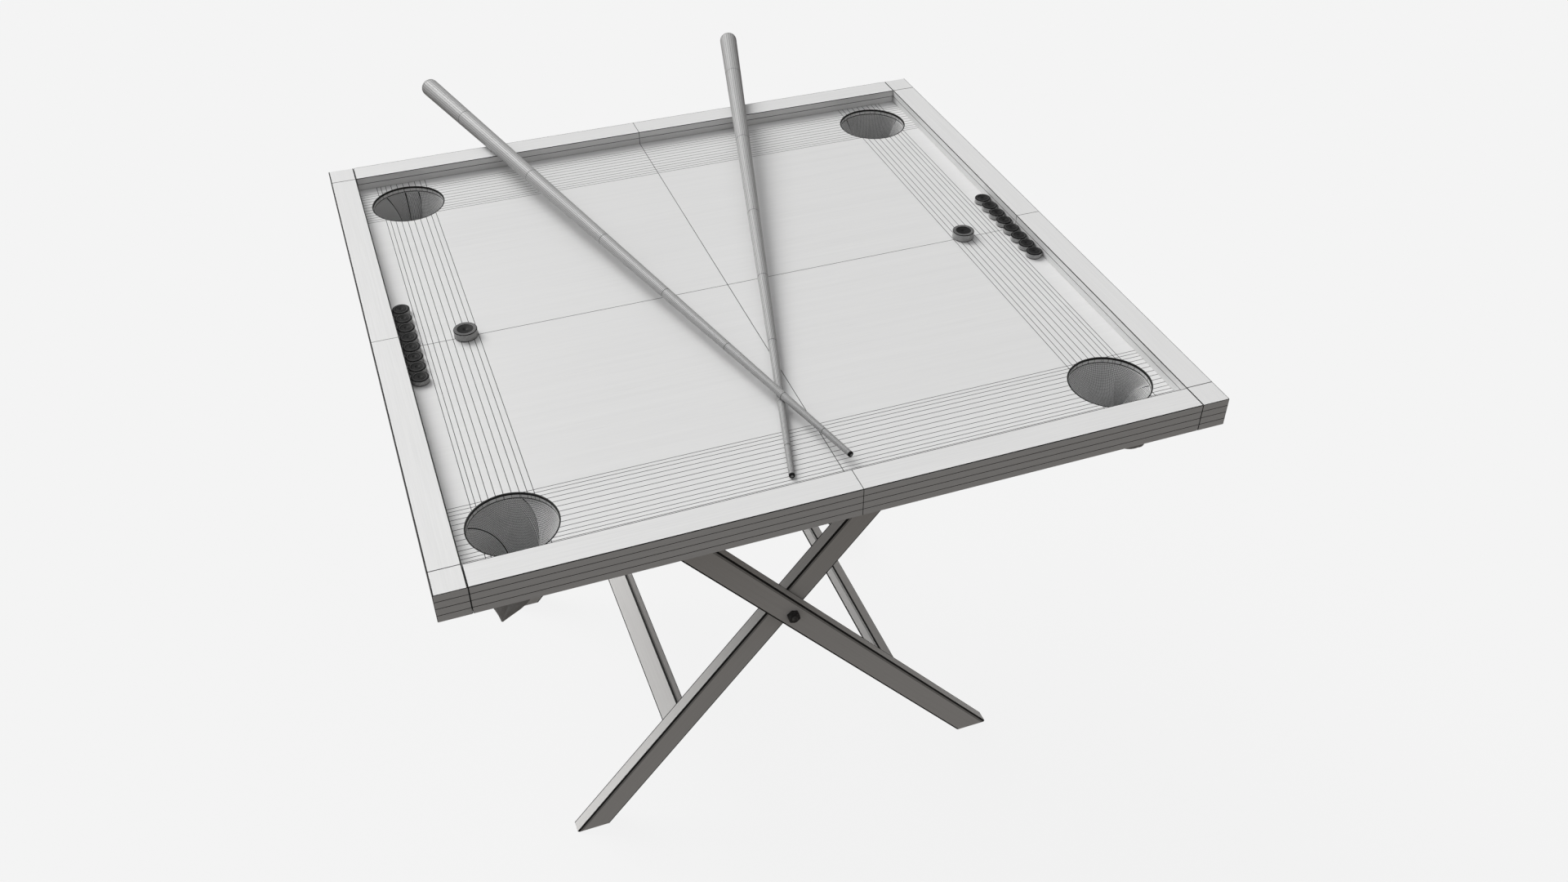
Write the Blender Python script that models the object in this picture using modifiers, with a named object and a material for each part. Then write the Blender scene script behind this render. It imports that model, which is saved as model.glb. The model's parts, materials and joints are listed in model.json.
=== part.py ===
"""Cue-carrom table: a square rimmed board with four netted corner pockets on a folding stand of crossed
legs, with two rows of small pucks, two strikers and two tapered cues on it. Metres, +Z up, floor at z = 0."""

import math

import bmesh
import bpy
from mathutils import Matrix, Vector

# Driving dimensions
GAP = 0.0003  # clearance between neighbouring pieces
RUNNING = 0.00006  # radial clearance of the pivot bolts in their holes
TABLE_Y = -0.11405  # the table's centre; the cues overhang the back rail, so it isn't the whole set's centre
TOP_Z = 0.829  # upper face of the rails

SIDE = 1.0  # outer side of the square board
RAIL_W = 0.0385
RAIL_H = 0.041
LAYER = RAIL_H / 4  # the rails are glued up from four equal strips
RAIL_EDGE = 0.0008
PLY = 0.008
GROOVE = 0.010  # how far the playing board enters the rails
TENON = (0.016, 0.014, 0.018)  # length, width, height
SURFACE_Z = TOP_Z - 2 * LAYER
PLY_UNDER_Z = SURFACE_Z - PLY
INNER = SIDE / 2 - RAIL_W

POCKET_AT = 0.3935
POCKET_R = 0.054
NET_WALL = 0.0014
NET_DEPTH = 0.112
NET_LEAN = 0.026  # how far the bag's tip lies towards the corner, along X and along Y
NET_TAPER = 0.72
NET_HEM_R = 0.064
RING_R = (0.0552, 0.0655)
RING_H = 0.0025

LEG_ANGLE = math.radians(50)
LEG_W = 0.0408
LEG_T = 0.0224
LEG_EDGE = 0.0016
LEG_PITCH = LEG_T + GAP
FRAME_A_Y = (-0.2364, 0.2888)  # mid planes of the legs whose feet are on the left
BEARER_T = 0.0109
LEG_TOP_Z = PLY_UNDER_Z - GAP - BEARER_T - GAP
PIVOT_Z = LEG_TOP_Z / 2
FOOT_X = PIVOT_Z / math.tan(LEG_ANGLE)
LEG_HALF_X = LEG_W / 2 / math.sin(LEG_ANGLE)

STRETCHER = (0.018, 0.041)  # thickness across the legs, height along them
STRETCHER_EDGE = 0.0012
STRETCHER_Z = 0.183
MORTISE = 0.014

BEARER_X = 0.285  # inner edge
LIP_T = 0.014
LIP_H = 0.016
BEARER_Y = (-0.290, 0.320)
SCREW_X = 0.321
SCREW_Y = (-0.170, 0.200)
SCREW_R = 0.002
SCREW_HEAD_R = 0.0042
SCREW_LENGTH = 0.0165

BOLT_R = 0.005
BOLT_HEAD_R = 0.0098
BOLT_HEAD_T = 0.0064
NUT_T = 0.0084
WASHER_R = 0.0105
WASHER_T = 0.0018

PUCK_R = 0.01185
PUCK_H = 0.0082
PUCK_PITCH = 0.0240
PUCK_X = INNER - PUCK_R - 0.0006
PUCK_Y = 0.0025
PUCKS = 8
STRIKER_R = 0.0161
STRIKER_H = 0.0114
STRIKER_X = 0.3745

CUE_LENGTH = 1.2
CUE_BUTT_R = 0.0152
CUE_TIP_R = 0.0037
CUE_TIP_LENGTH = 0.007
# Each cue: its tip's centre from the middle of the playing surface, its heading from +Y to +X, and its rise
CUES = {
    "cue_lower": ((-0.0636, -0.4314, CUE_TIP_R + GAP), math.radians(14.943), math.radians(1.825)),
    "cue_upper": ((0.0121, -0.4325, 0.01645), math.radians(-15.278), math.radians(1.053)),
}

CORNERS = {"front_left": (-1, -1), "front_right": (1, -1), "back_left": (-1, 1), "back_right": (1, 1)}
SIDES = {"left": -1, "right": 1}

for old in list(bpy.data.objects):
    bpy.data.objects.remove(old)

PARTS = bpy.data.collections.new("carrom_table")
CUTTERS = bpy.data.collections.new("cutters")
for group in (PARTS, CUTTERS):
    bpy.context.scene.collection.children.link(group)


def principled(name, colour, roughness, metallic=0.0):
    material = bpy.data.materials.new(name)
    material.use_nodes = True
    material.diffuse_color = (*colour, 1.0)
    shader = material.node_tree.nodes["Principled BSDF"]
    shader.inputs["Base Color"].default_value = (*colour, 1.0)
    shader.inputs["Roughness"].default_value = roughness
    shader.inputs["Metallic"].default_value = metallic
    return material


RAIL_WOOD = principled("rail_wood", (0.62, 0.61, 0.60), 0.45)
SURFACE_WOOD = principled("surface_wood", (0.70, 0.70, 0.70), 0.30)
LEG_WOOD = principled("leg_wood", (0.58, 0.57, 0.55), 0.50)
CUE_WOOD = principled("cue_wood", (0.55, 0.55, 0.54), 0.35)
NET_CORD = principled("net_cord", (0.25, 0.25, 0.26), 0.90)
DARK_STEEL = principled("dark_steel", (0.10, 0.10, 0.10), 0.40, 1.0)
PUCK_PLASTIC = principled("puck_plastic", (0.05, 0.05, 0.05), 0.45)
TIP_LEATHER = principled("tip_leather", (0.02, 0.02, 0.02), 0.80)


def empty(name, location, parent=None):
    holder = bpy.data.objects.new(name, None)
    holder.empty_display_size = 0.05
    PARTS.objects.link(holder)
    holder.location = location
    holder.parent = parent
    return holder


def add(name, mesh, material, location, parent):
    """An object of the part, or a hidden cutter if it has no material."""
    obj = bpy.data.objects.new(name, mesh)
    if material:
        mesh.materials.clear()
        mesh.materials.append(material)
        PARTS.objects.link(obj)
    else:
        obj.hide_render = True
        obj.display_type = "WIRE"
        CUTTERS.objects.link(obj)
    obj.location = location
    obj.parent = parent
    return obj


def box_mesh(name, size, slant=0.0):
    """A box about its centre. slant moves its upper face along +X and its lower face back, per metre."""
    bm = bmesh.new()
    bmesh.ops.create_cube(bm, size=1.0)
    bmesh.ops.scale(bm, vec=size, verts=bm.verts)
    for vert in bm.verts:
        vert.co.x += slant * vert.co.z
    mesh = bpy.data.meshes.new(name)
    bm.to_mesh(mesh)
    bm.free()
    return mesh


def box(name, low, high, material, parent):
    low, high = Vector(low), Vector(high)
    return add(name, box_mesh(name, high - low), material, (low + high) / 2, parent)


def cylinder(name, radius, depth, segments, material, location, parent):
    bm = bmesh.new()
    bmesh.ops.create_cone(
        bm, cap_ends=True, segments=segments, radius1=radius, radius2=radius, depth=depth
    )
    mesh = bpy.data.meshes.new(name)
    bm.to_mesh(mesh)
    bm.free()
    return add(name, mesh, material, location, parent)


def round_edges(obj, width, segments=1):
    bevel = obj.modifiers.new("edges", "BEVEL")
    bevel.width = width
    bevel.segments = segments
    bevel.limit_method = "ANGLE"


def boolean(obj, other, operation="DIFFERENCE"):
    step = obj.modifiers.new(f"{operation.lower()}_{other.name}", "BOOLEAN")
    step.object = other
    step.operation = operation
    step.solver = "EXACT"


def turn(obj, segments):
    screw = obj.modifiers.new("turned", "SCREW")
    screw.steps = segments
    screw.render_steps = segments
    screw.use_merge_vertices = True
    screw.merge_threshold = 0.00001
    screw.use_smooth_shade = True


def turned(name, profile, segments, material, location, parent):
    """A profile of (radius, height) points, top to bottom on its outer side, turned about local Z."""
    mesh = bpy.data.meshes.new(name)
    edges = [(i, i + 1) for i in range(len(profile) - 1)]
    mesh.from_pydata([(radius, 0.0, height) for radius, height in profile], edges, [])
    obj = add(name, mesh, material, location, parent)
    turn(obj, segments)
    return obj


# The stand: frame A stays put, frame B turns about the pivot axis, the board lifts off both
table = empty("table", (0.0, TABLE_Y, 0.0))
stand_a = empty("stand_a_axis", (0.0, 0.0, PIVOT_Z), table)
stand_b = empty("stand_b_axis", (0.0, 0.0, PIVOT_Z), table)
board = empty("board_frame", (0.0, 0.0, SURFACE_Z), table)


def at_board(z):
    return z - SURFACE_Z


def rails():
    """Side rails of full length, met by the end rails' blind tenons. All hold the board in a groove."""
    top, bottom = at_board(TOP_Z), at_board(TOP_Z - RAIL_H)
    half = SIDE / 2
    reach = INNER + GROOVE
    groove = box(
        "rail_groove",
        (-reach, -reach, -PLY - GAP),
        (reach, reach, GAP),
        None,
        board,
    )
    side_rails = {}
    for side, sign in SIDES.items():
        x = sorted((sign * INNER, sign * half))
        rail = box(f"rail_{side}", (x[0], -half, bottom), (x[1], half, top), RAIL_WOOD, board)
        round_edges(rail, RAIL_EDGE, 2)
        boolean(rail, groove)
        side_rails[sign] = rail
    tenon_y = half - RAIL_W / 2 + 0.0025
    tenon_z = (top + bottom) / 2
    length, width, height = TENON
    for end, sign in {"front": -1, "back": 1}.items():
        y = sorted((sign * INNER, sign * half))
        stop = INNER - GAP
        rail = box(f"rail_{end}", (-stop, y[0], bottom), (stop, y[1], top), RAIL_WOOD, board)
        round_edges(rail, RAIL_EDGE, 2)
        boolean(rail, groove)
        for side, along in SIDES.items():
            middle = (along * (INNER + length / 4), sign * tenon_y, tenon_z)
            tongue = Vector((length * 1.5 - 2 * GAP, width - 2 * GAP, height - 2 * GAP))
            tenon = add(f"tenon_{end}_{side}", box_mesh("tenon", tongue), None, middle, board)
            boolean(rail, tenon, "UNION")
            socket = Vector((length * 1.5, width, height))
            mortise = add(f"mortise_{end}_{side}", box_mesh("mortise", socket), None, middle, board)
            boolean(side_rails[along], mortise)


def playing_board():
    reach = INNER + GROOVE - GAP
    panel = box(
        "playing_board", (-reach, -reach, -PLY), (reach, reach, 0.0), SURFACE_WOOD, board
    )
    for corner, (x, y) in CORNERS.items():
        centre = (x * POCKET_AT, y * POCKET_AT, -PLY / 2)
        hole = cylinder(f"pocket_hole_{corner}", POCKET_R, PLY * 2, 48, None, centre, board)
        boolean(panel, hole)
    return panel


def bag_radius(depth):
    """Radius of the bag at a depth from 0 at the hem to 1 at the tip, with a rounded tip."""
    cone = (POCKET_R - 0.001) * (1 - NET_TAPER * depth)
    rounding = math.sqrt(max(0.0, 1 - max(0.0, (depth - 0.86) / 0.14) ** 2))
    return cone * rounding


def pocket_net(corner, x, y):
    """A bag with a flat hem under the playing board. It leans towards the table's corner."""
    depths = [0.0, 0.16, 0.34, 0.52, 0.70, 0.86, 0.95, 1.0]
    profile = [(bag_radius(depth), -depth * NET_DEPTH) for depth in reversed(depths)]
    profile.append((NET_HEM_R, 0.0))
    profile.reverse()
    under = -PLY - GAP
    draft = turned(
        f"draft_net_{corner}", profile, 24, None, (x * POCKET_AT, y * POCKET_AT, under), board
    )
    bpy.context.view_layer.update()
    evaluated = draft.evaluated_get(bpy.context.evaluated_depsgraph_get())
    mesh = bpy.data.meshes.new_from_object(evaluated)
    lean = Matrix.Identity(4)
    lean[0][2] = -x * NET_LEAN / NET_DEPTH
    lean[1][2] = -y * NET_LEAN / NET_DEPTH
    mesh.transform(lean)
    bpy.data.objects.remove(draft)
    net = add(
        f"pocket_net_{corner}", mesh, NET_CORD, (x * POCKET_AT, y * POCKET_AT, under), board
    )
    wall = net.modifiers.new("wall", "SOLIDIFY")
    wall.thickness = NET_WALL
    wall.offset = 1.0
    wall.use_even_offset = True


def pocket_ring(corner, x, y):
    """A flat ring that holds the net's hem against the playing board."""
    inner, outer = RING_R
    high = -PLY - GAP - NET_WALL - GAP
    profile = [(inner, high), (outer, high), (outer, high - RING_H), (inner, high - RING_H), (inner, high)]
    turned(
        f"pocket_ring_{corner}", profile, 32, DARK_STEEL, (x * POCKET_AT, y * POCKET_AT, 0.0), board
    )


def bearer(side, sign):
    """A batten under the board over the leg tops, with a lip that keeps them from spreading."""
    outer = FOOT_X + LEG_HALF_X + GAP + LIP_T
    high = at_board(PLY_UNDER_Z) - GAP
    low = high - BEARER_T
    x = sorted((sign * BEARER_X, sign * outer))
    batten = box(
        f"bearer_{side}", (x[0], BEARER_Y[0], low - LIP_H), (x[1], BEARER_Y[1], high), LEG_WOOD, board
    )
    round_edges(batten, RAIL_EDGE)
    rebate_x = sorted((sign * (BEARER_X - 0.01), sign * (outer - LIP_T)))
    rebate = box(
        f"rebate_{side}",
        (rebate_x[0], BEARER_Y[0] - 0.01, low - LIP_H - 0.01),
        (rebate_x[1], BEARER_Y[1] + 0.01, low),
        None,
        board,
    )
    boolean(batten, rebate)
    return batten, low


def bearer_screws(side, sign, batten, low, panel):
    """Countersunk screws from below through the batten into the playing board."""
    cone = SCREW_HEAD_R - SCREW_R
    head_low = low + GAP
    x = sign * SCREW_X
    for place, y in zip(("front", "rear"), SCREW_Y):
        profile = [
            (0.0, SCREW_LENGTH),
            (SCREW_R * 0.4, SCREW_LENGTH),
            (SCREW_R, SCREW_LENGTH - 0.003),
            (SCREW_R, cone),
            (SCREW_HEAD_R, 0.0),
            (0.0, 0.0),
        ]
        turned(f"bearer_screw_{side}_{place}", profile, 16, DARK_STEEL, (x, y, head_low), board)
        room = [
            (0.0, SCREW_LENGTH + GAP),
            (SCREW_R + GAP, SCREW_LENGTH + GAP),
            (SCREW_R + GAP, cone),
            (SCREW_HEAD_R + GAP, 0.0),
            (SCREW_HEAD_R + GAP, -0.004),
            (0.0, -0.004),
        ]
        hole = turned(f"screw_hole_{side}_{place}", room, 16, None, (x, y, head_low), board)
        boolean(batten, hole)
        boolean(panel, hole)


def leg(name, leans, y, holder):
    """A flat bar from the floor to the bearer, level at both ends. leans is +1 for a foot on the left."""
    mesh = box_mesh(name, (2 * LEG_HALF_X, LEG_T, LEG_TOP_Z), leans / math.tan(LEG_ANGLE))
    bar = add(name, mesh, LEG_WOOD, (0.0, y, 0.0), holder)
    round_edges(bar, LEG_EDGE, 2)
    pivot = cylinder(
        f"pivot_hole_{name}", BOLT_R + RUNNING, LEG_T * 2, 48, None, (0.0, y, 0.0), holder
    )
    pivot.rotation_euler.x = math.radians(90)
    boolean(bar, pivot)
    return bar


def stretcher(name, leans, legs, holder):
    """A flat cross bar between two legs, its height along them, with a blind tenon in each."""
    across, along = STRETCHER
    z = STRETCHER_Z - PIVOT_Z
    x = leans * z / math.tan(LEG_ANGLE)
    tilt = leans * (math.radians(90) - LEG_ANGLE)
    (front, front_y), (rear, rear_y) = legs
    face = LEG_T / 2 + GAP
    low, high = front_y + face, rear_y - face
    middle = (x, (low + high) / 2, z)
    bar = add(name, box_mesh(name, (across, high - low, along)), LEG_WOOD, middle, holder)
    bar.rotation_euler.y = tilt
    round_edges(bar, STRETCHER_EDGE, 2)
    tongue_size = (across - 0.008, high - low + 2 * (MORTISE - GAP), along - 0.016)
    tongue = add(f"tongue_{name}", box_mesh("tongue", tongue_size), None, middle, holder)
    tongue.rotation_euler.y = tilt
    boolean(bar, tongue, "UNION")
    room_size = (tongue_size[0] + 2 * GAP, high - low + 2 * MORTISE, tongue_size[2] + 2 * GAP)
    room = add(f"room_{name}", box_mesh("room", room_size), None, middle, holder)
    room.rotation_euler.y = tilt
    boolean(front, room)
    boolean(rear, room)


def pivot_hardware(place, outer_y, inner_y, holder):
    """A hexagon bolt with its head and a washer inside the stand and its nut on the outer face."""
    outwards = 1 if outer_y > inner_y else -1
    washer_y = inner_y - outwards * (GAP + WASHER_T / 2)
    washer = turned(
        f"pivot_washer_{place}",
        [
            (BOLT_R + RUNNING, WASHER_T / 2),
            (WASHER_R, WASHER_T / 2),
            (WASHER_R, -WASHER_T / 2),
            (BOLT_R + RUNNING, -WASHER_T / 2),
            (BOLT_R + RUNNING, WASHER_T / 2),
        ],
        32,
        DARK_STEEL,
        (0.0, washer_y, 0.0),
        holder,
    )
    washer.rotation_euler.x = math.radians(90)

    head_y = washer_y - outwards * (WASHER_T / 2 + GAP)
    shank_end = outer_y + outwards * (GAP + NUT_T + 0.0015)
    length = abs(shank_end - head_y)
    bolt = cylinder(
        f"pivot_bolt_{place}",
        BOLT_HEAD_R,
        BOLT_HEAD_T,
        6,
        DARK_STEEL,
        (0.0, head_y - outwards * BOLT_HEAD_T / 2, 0.0),
        holder,
    )
    bolt.rotation_euler.x = math.radians(90)
    shank = cylinder(
        f"shank_{place}",
        BOLT_R,
        length + BOLT_HEAD_T / 2,
        48,
        None,
        (0.0, (shank_end + head_y - outwards * BOLT_HEAD_T / 2) / 2, 0.0),
        holder,
    )
    shank.rotation_euler.x = math.radians(90)
    boolean(bolt, shank, "UNION")

    nut_y = outer_y + outwards * (GAP + NUT_T / 2)
    nut = cylinder(
        f"pivot_nut_{place}", BOLT_HEAD_R, NUT_T, 6, DARK_STEEL, (0.0, nut_y, 0.0), holder
    )
    nut.rotation_euler.x = math.radians(90)
    thread = cylinder(
        f"thread_{place}", BOLT_R + RUNNING, NUT_T * 2, 48, None, (0.0, nut_y, 0.0), holder
    )
    thread.rotation_euler.x = math.radians(90)
    boolean(nut, thread)


def stand():
    """Two equal frames of two legs and a stretcher, one leg's thickness apart so that they fold together."""
    y_a = FRAME_A_Y
    y_b = tuple(y - LEG_PITCH for y in FRAME_A_Y)
    for letter, leans, planes, holder in (("a", 1, y_a, stand_a), ("b", -1, y_b, stand_b)):
        front = leg(f"leg_{letter}_front", leans, planes[0], holder)
        rear = leg(f"leg_{letter}_rear", leans, planes[1], holder)
        stretcher(f"stretcher_{letter}", leans, ((front, planes[0]), (rear, planes[1])), holder)
    pivot_hardware("front", y_b[0] - LEG_T / 2, y_a[0] + LEG_T / 2, stand_a)
    pivot_hardware("rear", y_a[1] + LEG_T / 2, y_b[1] - LEG_T / 2, stand_a)


def disc_profile(radius, height):
    """A flat rim, and inside it a shallow dish on the upper face."""
    dish = height * 0.12
    return [
        (0.0, height - dish),
        (radius * 0.62, height - dish),
        (radius * 0.70, height),
        (radius, height),
        (radius, 0.0),
        (0.0, 0.0),
    ]


def pucks():
    """A row of touching pucks along each side rail, and a larger striker in front of each row."""
    first = PUCK_Y - PUCK_PITCH * (PUCKS - 1) / 2
    for side, sign in SIDES.items():
        for number in range(PUCKS):
            place = (sign * PUCK_X, first + PUCK_PITCH * number, GAP)
            profile = disc_profile(PUCK_R, PUCK_H)
            turned(f"puck_{side}_{number + 1}", profile, 32, PUCK_PLASTIC, place, board)
        place = (sign * STRIKER_X, PUCK_Y, GAP)
        profile = disc_profile(STRIKER_R, STRIKER_H)
        turned(f"striker_{side}", profile, 40, PUCK_PLASTIC, place, board)


def cue(name, tip, heading, rise):
    """A straight taper with a rounded butt and a leather tip. Its holder's +Z runs from tip to butt."""
    holder = empty(f"{name}_axis", tip, board)
    along = Vector(
        (math.sin(heading) * math.cos(rise), math.cos(heading) * math.cos(rise), math.sin(rise))
    )
    holder.rotation_mode = "QUATERNION"
    holder.rotation_quaternion = along.to_track_quat("Z", "Y")
    round_start = CUE_LENGTH - CUE_BUTT_R * 0.75
    taper = (CUE_BUTT_R - CUE_TIP_R) / CUE_LENGTH
    profile = []
    for step in range(5):
        angle = math.radians(90) * (1 - step / 5)
        profile.append((CUE_BUTT_R * math.cos(angle), round_start + CUE_BUTT_R * 0.75 * math.sin(angle)))
    profile.append((CUE_TIP_R + taper * round_start, round_start))
    shaft_end = CUE_TIP_LENGTH + GAP
    profile.append((CUE_TIP_R + taper * shaft_end, shaft_end))
    profile.append((0.0, shaft_end))
    turned(name, profile, 32, CUE_WOOD, (0.0, 0.0, 0.0), holder)
    tip_profile = [
        (0.0, CUE_TIP_LENGTH),
        (CUE_TIP_R, CUE_TIP_LENGTH),
        (CUE_TIP_R, 0.0012),
        (CUE_TIP_R * 0.7, 0.0),
        (0.0, 0.0),
    ]
    turned(f"{name}_tip", tip_profile, 24, TIP_LEATHER, (0.0, 0.0, 0.0), holder)


rails()
panel = playing_board()
for corner, (x, y) in CORNERS.items():
    pocket_net(corner, x, y)
    pocket_ring(corner, x, y)
for side, sign in SIDES.items():
    batten, low = bearer(side, sign)
    bearer_screws(side, sign, batten, low, panel)
stand()
pucks()
for name, (tip, heading, rise) in CUES.items():
    cue(name, tip, heading, rise)
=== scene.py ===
"""The looks of the cue-carrom table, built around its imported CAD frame. Metres, +Z up, floor at z = 0."""
import json
import math

import bmesh
import bpy
import numpy as np
from mathutils import Matrix, Vector


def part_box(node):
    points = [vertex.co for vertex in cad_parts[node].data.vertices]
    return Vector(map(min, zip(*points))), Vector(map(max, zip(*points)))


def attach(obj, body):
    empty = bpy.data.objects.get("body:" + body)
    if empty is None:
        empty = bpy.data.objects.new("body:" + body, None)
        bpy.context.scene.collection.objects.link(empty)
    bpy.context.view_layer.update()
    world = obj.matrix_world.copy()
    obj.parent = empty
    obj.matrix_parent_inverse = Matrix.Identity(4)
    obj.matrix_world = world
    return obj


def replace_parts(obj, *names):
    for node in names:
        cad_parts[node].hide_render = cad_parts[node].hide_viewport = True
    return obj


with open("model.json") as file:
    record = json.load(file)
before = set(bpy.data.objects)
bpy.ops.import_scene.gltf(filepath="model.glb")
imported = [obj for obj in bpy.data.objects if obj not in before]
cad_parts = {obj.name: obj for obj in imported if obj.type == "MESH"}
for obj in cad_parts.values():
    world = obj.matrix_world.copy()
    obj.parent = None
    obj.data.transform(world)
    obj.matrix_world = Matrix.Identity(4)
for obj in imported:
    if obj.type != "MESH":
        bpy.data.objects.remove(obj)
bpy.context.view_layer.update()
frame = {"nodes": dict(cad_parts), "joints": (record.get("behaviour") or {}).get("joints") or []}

# Places read from the frame
RAIL_LOW, RAIL_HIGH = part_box("rail_left")
PANEL_LOW, PANEL_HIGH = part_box("playing_board")
TABLE_Y = (RAIL_LOW.y + RAIL_HIGH.y) / 2
INNER = -RAIL_HIGH.x
UNDER_Z, SURFACE_Z = PANEL_LOW.z, PANEL_HIGH.z

# Rails
STRIPS = 4
ARRIS = 0.0008
END_ARRIS = 0.0006
GLUE = 0.0009  # width of a glue line
GLUE_DEEP = 0.0001
MARK = 0.0009  # width of the centre marks
END_MARK = 0.0013  # width of the marks at the side rails' ends
MARK_DEEP = 0.0003
GROOVE = 0.010  # depth of the groove that holds the board
PROUD = 0.00004  # how far inlaid lines stand above the wood
ROOM = 0.0003  # clearance round the board and at the rails' ends

# Playing surface: bands of guide lines that draw closer towards both edges of the band.
# Each band: the lines' middle, their reach, the first angle and the step in degrees, and their number.
BANDS = {
    "side": (0.3914, 0.0518, 54.4, 10.5, 10),
    "front": (0.3904, 0.0576, 56.7, 9.29, 13),
    "back": (0.3993, 0.0584, 46.7, 8.99, 12),
}
LINE = 0.00085
POCKET_AT = 0.3935
POCKET_R = 0.054
RIM_STEPS = 96
CORNERS = {"front_left": (-1, -1), "front_right": (1, -1), "back_left": (-1, 1), "back_right": (1, 1)}

# Nets
NET_DEPTH = 0.112
NET_HEM_R = 0.0635
NET_COLUMNS = 160
NET_HEM_RINGS = (NET_HEM_R, 0.0605, 0.0575, POCKET_R + 0.0008)
NET_END = 0.992  # share of the depth where the rows stop and the tip closes
NET_HANG = 0.985
NET_CELL_R = 0.028  # the rows draw no closer below this radius
CORD = 0.24  # share of a cell that is cord
DEEP_FOLD = 0.0075  # folds at least this deep get a painted shadow on their steep side
NET_Z = UNDER_Z - 0.0010

# Legs
LEG_ANGLE = math.radians(50)
LEG_WIDTH = 0.0408
LEG_ARRIS = 0.0022
LEG_FINE = 0.0012
LEG_BAND = 0.0054
LEG_RIM = 0.0014
STEEP = math.radians(49)  # edges sharper than this are planed

# Pivot hardware
PIVOT_BORE = 0.0052
NUT_BORE = 0.0051
THREAD_R = 0.00495
THREAD_START = 0.0060
THREAD_STEPS = 40
BOLT_HEAD = 0.0064
NUT_CHAMFER = 1.2
NUT_TURN = math.radians(12)
ROUND_STEPS = 48

# Pucks
RIBS = 60
STRIKER_RIBS = 75
RIB = 0.72  # share of the pitch that is rib
ROUNDING = 0.00095
SIDE_DEEP = 0.00012

# Cues
STAVES = 24
STAVE_LINE = 0.00044
CUE_RINGS = (0.055, 0.140, 0.267, 0.420, 0.590, 0.815, 1.050)
RING_LINE = 0.0011
TIP_STEPS = 32

# Stage, light and camera
FLOOR_REACH = 14.0
FLOOR_GLOW = 0.865
WALL_R = 13.0
WALL_GLOW = 0.896
KEY_POWER = 2.6
KEY_SIZE = math.radians(40)
KEY_TOWARDS = (0.55, -1.05, -1.0)
SURROUND_UP = (-0.25, 0.2, 0.947)  # the brightest part of the surround
LENS = 32.03
CAMERA_AT = (-0.51328, -1.72786, 1.89800)
CAMERA_TURN = (50.8233, -0.0447, -20.3464)


# ---------------------------------------------------------------- materials


class Nodes:
    """A small hand for building a material's node tree."""

    def __init__(self, name):
        self.material = bpy.data.materials.new(f"look_{name}")
        self.material.use_nodes = True
        self.tree = self.material.node_tree
        self.shader = self.tree.nodes["Principled BSDF"]

    def add(self, kind, settings=(), **inputs):
        node = self.tree.nodes.new(kind)
        for key, value in dict(settings).items():
            setattr(node, key, value)
        for key, value in inputs.items():
            socket = node.inputs[int(key[1:])] if key[1:].isdigit() else node.inputs[key.replace("_", " ")]
            if isinstance(value, bpy.types.NodeSocket):
                self.tree.links.new(value, socket)
            else:
                socket.default_value = value
        return node

    def place(self, scale, turn=(0.0, 0.0, 0.0)):
        """Object coordinates, turned and scaled along each axis."""
        source = self.add("ShaderNodeTexCoord").outputs["Object"]
        turned = self.add("ShaderNodeMapping", Vector=source, Rotation=turn).outputs["Vector"]
        return self.add("ShaderNodeMapping", Vector=turned, Scale=scale).outputs["Vector"]

    def noise(self, vector, scale=1.0, detail=3.0, rough=0.5):
        node = self.add("ShaderNodeTexNoise", Vector=vector, Scale=scale, Detail=detail, Roughness=rough)
        return node.outputs["Fac"]

    def between(self, value, low, high, out_low=0.0, out_high=1.0):
        node = self.add(
            "ShaderNodeMapRange", Value=value, From_Min=low, From_Max=high, To_Min=out_low, To_Max=out_high
        )
        return node.outputs["Result"]

    def mix(self, factor, one, other, blend="MIX"):
        node = self.add("ShaderNodeMix", {"data_type": "RGBA", "blend_type": blend})
        for socket, value in ((node.inputs[0], factor), (node.inputs[6], one), (node.inputs[7], other)):
            if isinstance(value, bpy.types.NodeSocket):
                self.tree.links.new(value, socket)
            else:
                socket.default_value = value
        return node.outputs[2]

    def maths(self, operation, one, other=0.0):
        return self.add("ShaderNodeMath", {"operation": operation}, _0=one, _1=other).outputs[0]

    def finish(self, colour=None, roughness=None, height=None, distance=0.0001, strength=1.0, **plain):
        links = self.tree.links
        if colour is not None:
            links.new(colour, self.shader.inputs["Base Color"])
        if roughness is not None:
            links.new(roughness, self.shader.inputs["Roughness"])
        if height is not None:
            bump = self.add("ShaderNodeBump", Height=height, Distance=distance, Strength=strength)
            links.new(bump.outputs["Normal"], self.shader.inputs["Normal"])
        for key, value in plain.items():
            self.shader.inputs[key.replace("_", " ")].default_value = value
        return self.material


def grey(value, warm=0.0):
    return (value * (1 + warm), value, value * (1 - warm), 1.0)


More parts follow.
